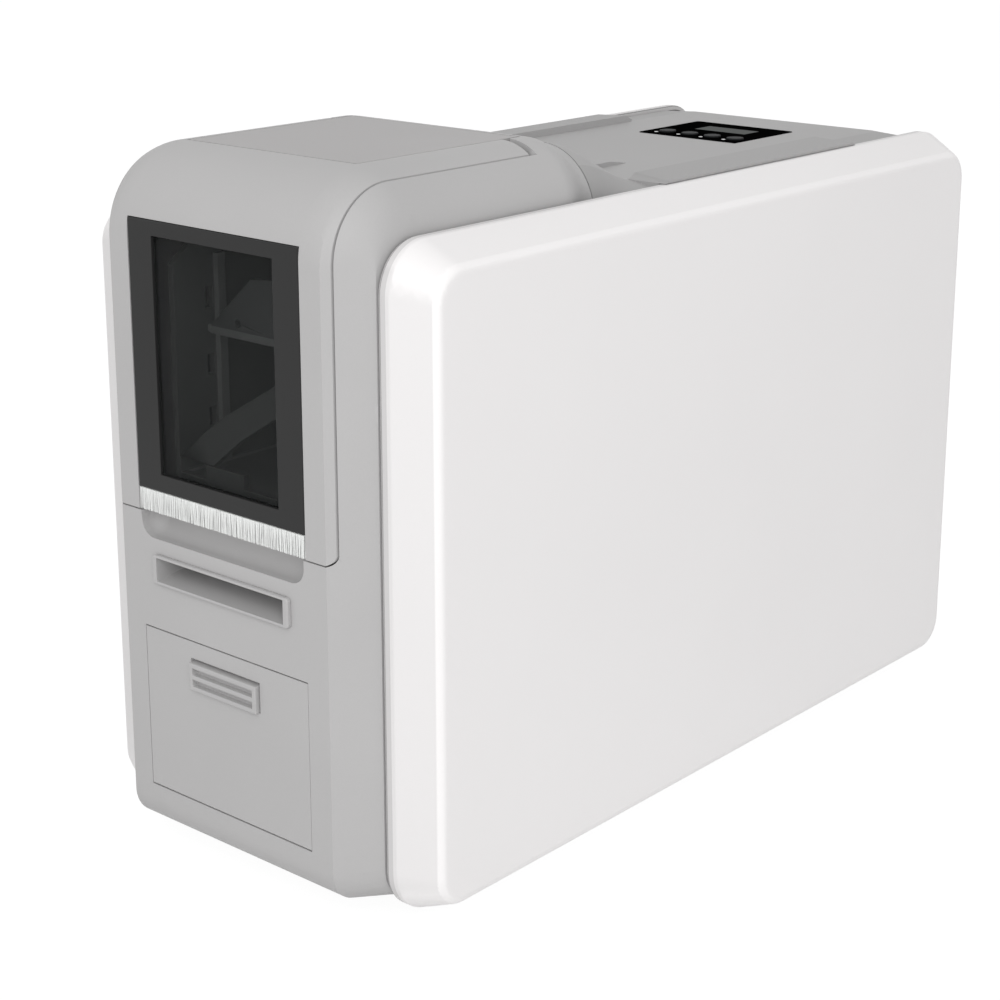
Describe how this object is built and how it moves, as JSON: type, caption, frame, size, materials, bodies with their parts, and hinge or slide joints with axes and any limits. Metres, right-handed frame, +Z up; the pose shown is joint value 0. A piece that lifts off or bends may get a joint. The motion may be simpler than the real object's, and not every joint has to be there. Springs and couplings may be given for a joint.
{
  "type": "card printer",
  "caption": "Desktop card printer with a windowed hopper cover hinged over a tower, a hinged rear lid with operator panel, dished side panels, a slide-out card bin and rollers.",
  "frame": {"origin": "middle of the footprint on the surface under the feet", "axes": "+Z up, -Y towards the front face with the window and exit slot, +X to the right seen from behind the front face's left, as a right-handed frame"},
  "size_m": [0.1806, 0.395, 0.283],
  "materials": {
    "grey_housing": "fine spark-eroded texture, moulded ABS",
    "white_housing": "fine spark-eroded texture, moulded ABS",
    "grey_trim": "moulded ABS, satin",
    "dark_frame": "charcoal moulded plastic, satin",
    "smoked_pane": "smoked clear acrylic, polished",
    "brush": "nylon bristles",
    "black_gloss": "polished black acrylic",
    "display": "unlit grey liquid crystal cell",
    "button_black": "moulded dark plastic, satin",
    "steel_sheet": "zinc-plated sheet",
    "black_plastic": "moulded glass-filled nylon",
    "inner_plastic": "dark grey moulded plastic",
    "circuit_board": "solder-masked glass-epoxy laminate",
    "painted_steel": "dark grey powder-coated steel",
    "ground_steel": "ground steel",
    "rubber_tyre": "ground rubber sleeve",
    "soft_foot": "moulded rubber",
    "belt_rubber": "toothed rubber belt",
    "film": "ink-coated polyester film",
    "spool_plastic": "natural moulded plastic",
    "pinion_brass": "machined"
  },
  "bodies": {
    "chassis": {"front_housing": "grey_housing", "rear_housing": "grey_housing", "left_side_panel": "white_housing", "right_side_panel": "white_housing", "base_pan": "steel_sheet", "rubber_feet": "soft_foot", "hopper_top_plate": "grey_trim", "slot_bezel": "grey_trim", "hopper_frame": "inner_plastic", "card_track": "inner_plastic", "left_frame": "steel_sheet", "right_frame": "steel_sheet", "main_board": "circuit_board", "power_supply": "steel_sheet", "power_inlet": "black_plastic", "data_port": "steel_sheet", "fan_frame": "black_plastic", "hinge_pins": "ground_steel", "panel_screws": "ground_steel", "drive_motor": "painted_steel", "feed_motor": "painted_steel", "ribbon_motor": "painted_steel", "transport_belt": "belt_rubber", "ribbon_film": "film"},
    "hopper_cover": {"front_cover": "grey_housing", "window_frame": "dark_frame", "window_pane": "smoked_pane", "dust_brush": "brush"},
    "rear_lid": {"rear_cover": "grey_housing", "panel_lens": "black_gloss", "lcd_screen": "display"},
    "card_bin": {"bin_drawer": "inner_plastic", "drawer_front": "grey_housing", "pull_handle": "grey_trim"},
    "hopper_weight": {"card_weight": "painted_steel"},
    "pick_roller": {"pick_shaft": "ground_steel", "pick_tyre": "rubber_tyre"},
    "exit_roller": {"exit_shaft": "ground_steel", "exit_tyre": "rubber_tyre"},
    "centre_roller": {"centre_shaft": "ground_steel", "centre_tyre": "rubber_tyre"},
    "platen_roller": {"platen_shaft": "ground_steel", "platen_tyre": "rubber_tyre"},
    "rear_roller": {"rear_shaft": "ground_steel", "rear_tyre": "rubber_tyre"},
    "exit_pinch": {"exit_pinch_roller": "ground_steel"},
    "rear_pinch": {"rear_pinch_roller": "ground_steel"},
    "lower_pinch": {"lower_pinch_roller": "ground_steel"},
    "upper_pinch": {"upper_pinch_roller": "ground_steel"},
    "head_unit": {"head_carriage": "painted_steel", "print_head": "steel_sheet"},
    "supply_reel": {"supply_spool": "spool_plastic"},
    "take_up_reel": {"take_up_spool": "spool_plastic"},
    "fan": {"fan_rotor": "black_plastic"},
    "rocker": {"power_switch": "black_plastic"},
    "motor_pinion": {"drive_pinion": "pinion_brass"},
    "button_1": {"panel_button_1": "button_black"},
    "button_2": {"panel_button_2": "button_black"},
    "button_3": {"panel_button_3": "button_black"},
    "button_4": {"panel_button_4": "button_black"}
  },
  "joints": [
    {"name": "hopper_cover_hinge", "type": "hinge", "parent": "chassis", "child": "hopper_cover", "pos_m": [0, -0.0946, 0.275], "axis": [-1, 0, 0], "range_deg": [0, 70]},
    {"name": "rear_lid_hinge", "type": "hinge", "parent": "chassis", "child": "rear_lid", "pos_m": [0, 0.1674, 0.241], "axis": [-1, 0, 0], "range_deg": [0, 80]},
    {"name": "bin_slide", "type": "slide", "parent": "chassis", "child": "card_bin", "axis": [0, -1, 0], "range_m": [0, 0.09]},
    {"name": "weight_slide", "type": "slide", "parent": "chassis", "child": "hopper_weight", "axis": [0, 0, 1], "range_m": [-0.04, 0.025]},
    {"name": "head_lift", "type": "slide", "parent": "chassis", "child": "head_unit", "axis": [0, 0, 1], "range_m": [0, 0.006]},
    {"name": "button_1_press", "type": "slide", "parent": "rear_lid", "child": "button_1", "axis": [0, 0, -1], "range_m": [0, 0.0008], "stiffness_N_per_m": 400},
    {"name": "button_2_press", "type": "slide", "parent": "rear_lid", "child": "button_2", "axis": [0, 0, -1], "range_m": [0, 0.0008], "stiffness_N_per_m": 400},
    {"name": "button_3_press", "type": "slide", "parent": "rear_lid", "child": "button_3", "axis": [0, 0, -1], "range_m": [0, 0.0008], "stiffness_N_per_m": 400},
    {"name": "button_4_press", "type": "slide", "parent": "rear_lid", "child": "button_4", "axis": [0, 0, -1], "range_m": [0, 0.0008], "stiffness_N_per_m": 400},
    {"name": "platen_turn", "type": "hinge", "parent": "chassis", "child": "platen_roller", "pos_m": [0, 0.03498, 0.11385], "axis": [1, 0, 0], "continuous": true},
    {"name": "exit_turn", "type": "hinge", "parent": "chassis", "child": "exit_roller", "pos_m": [0, -0.118, 0.11385], "axis": [1, 0, 0], "continuous": true},
    {"name": "rear_turn", "type": "hinge", "parent": "chassis", "child": "rear_roller", "pos_m": [0, 0.1, 0.11385], "axis": [1, 0, 0], "continuous": true},
    {"name": "centre_turn", "type": "hinge", "parent": "chassis", "child": "centre_roller", "pos_m": [0, -0.04603, 0.1311], "axis": [1, 0, 0], "continuous": true},
    {"name": "exit_pinch_turn", "type": "hinge", "parent": "chassis", "child": "exit_pinch", "pos_m": [0, -0.118, 0.12715], "axis": [1, 0, 0], "continuous": true},
    {"name": "rear_pinch_turn", "type": "hinge", "parent": "chassis", "child": "rear_pinch", "pos_m": [0, 0.1, 0.12715], "axis": [1, 0, 0], "continuous": true},
    {"name": "lower_pinch_turn", "type": "hinge", "parent": "chassis", "child": "lower_pinch", "pos_m": [0, -0.04603, 0.1168], "axis": [1, 0, 0], "continuous": true},
    {"name": "upper_pinch_turn", "type": "hinge", "parent": "chassis", "child": "upper_pinch", "pos_m": [0, -0.03735, 0.14246], "axis": [1, 0, 0], "continuous": true},
    {"name": "pinion_turn", "type": "hinge", "parent": "chassis", "child": "motor_pinion", "pos_m": [0, 0.03498, 0.08385], "axis": [1, 0, 0], "continuous": true},
    {"name": "pick_turn", "type": "hinge", "parent": "chassis", "child": "pick_roller", "pos_m": [0, -0.112, 0.1516], "axis": [1, 0, 0], "continuous": true},
    {"name": "supply_turn", "type": "hinge", "parent": "chassis", "child": "supply_reel", "pos_m": [0, 0.08498, 0.165], "axis": [1, 0, 0], "continuous": true},
    {"name": "take_up_turn", "type": "hinge", "parent": "chassis", "child": "take_up_reel", "pos_m": [0, -0.00802, 0.165], "axis": [1, 0, 0], "continuous": true},
    {"name": "fan_turn", "type": "hinge", "parent": "chassis", "child": "fan", "pos_m": [0.018, 0.1895, 0.15], "axis": [0, 1, 0], "continuous": true},
    {"name": "switch_rock", "type": "hinge", "parent": "chassis", "child": "rocker", "pos_m": [0.002, 0.1939, 0.048], "axis": [0, 0, 1], "range_deg": [-14, 0]}
  ],
  "couplings": [
    {"joint": "exit_turn", "follows": "platen_turn", "ratio": 1},
    {"joint": "rear_turn", "follows": "platen_turn", "ratio": 1},
    {"joint": "centre_turn", "follows": "platen_turn", "ratio": -0.88889},
    {"joint": "exit_pinch_turn", "follows": "platen_turn", "ratio": -1.6},
    {"joint": "rear_pinch_turn", "follows": "platen_turn", "ratio": -1.6},
    {"joint": "lower_pinch_turn", "follows": "platen_turn", "ratio": 1.6},
    {"joint": "upper_pinch_turn", "follows": "platen_turn", "ratio": 1.6},
    {"joint": "pinion_turn", "follows": "platen_turn", "ratio": -2.75}
  ]
}
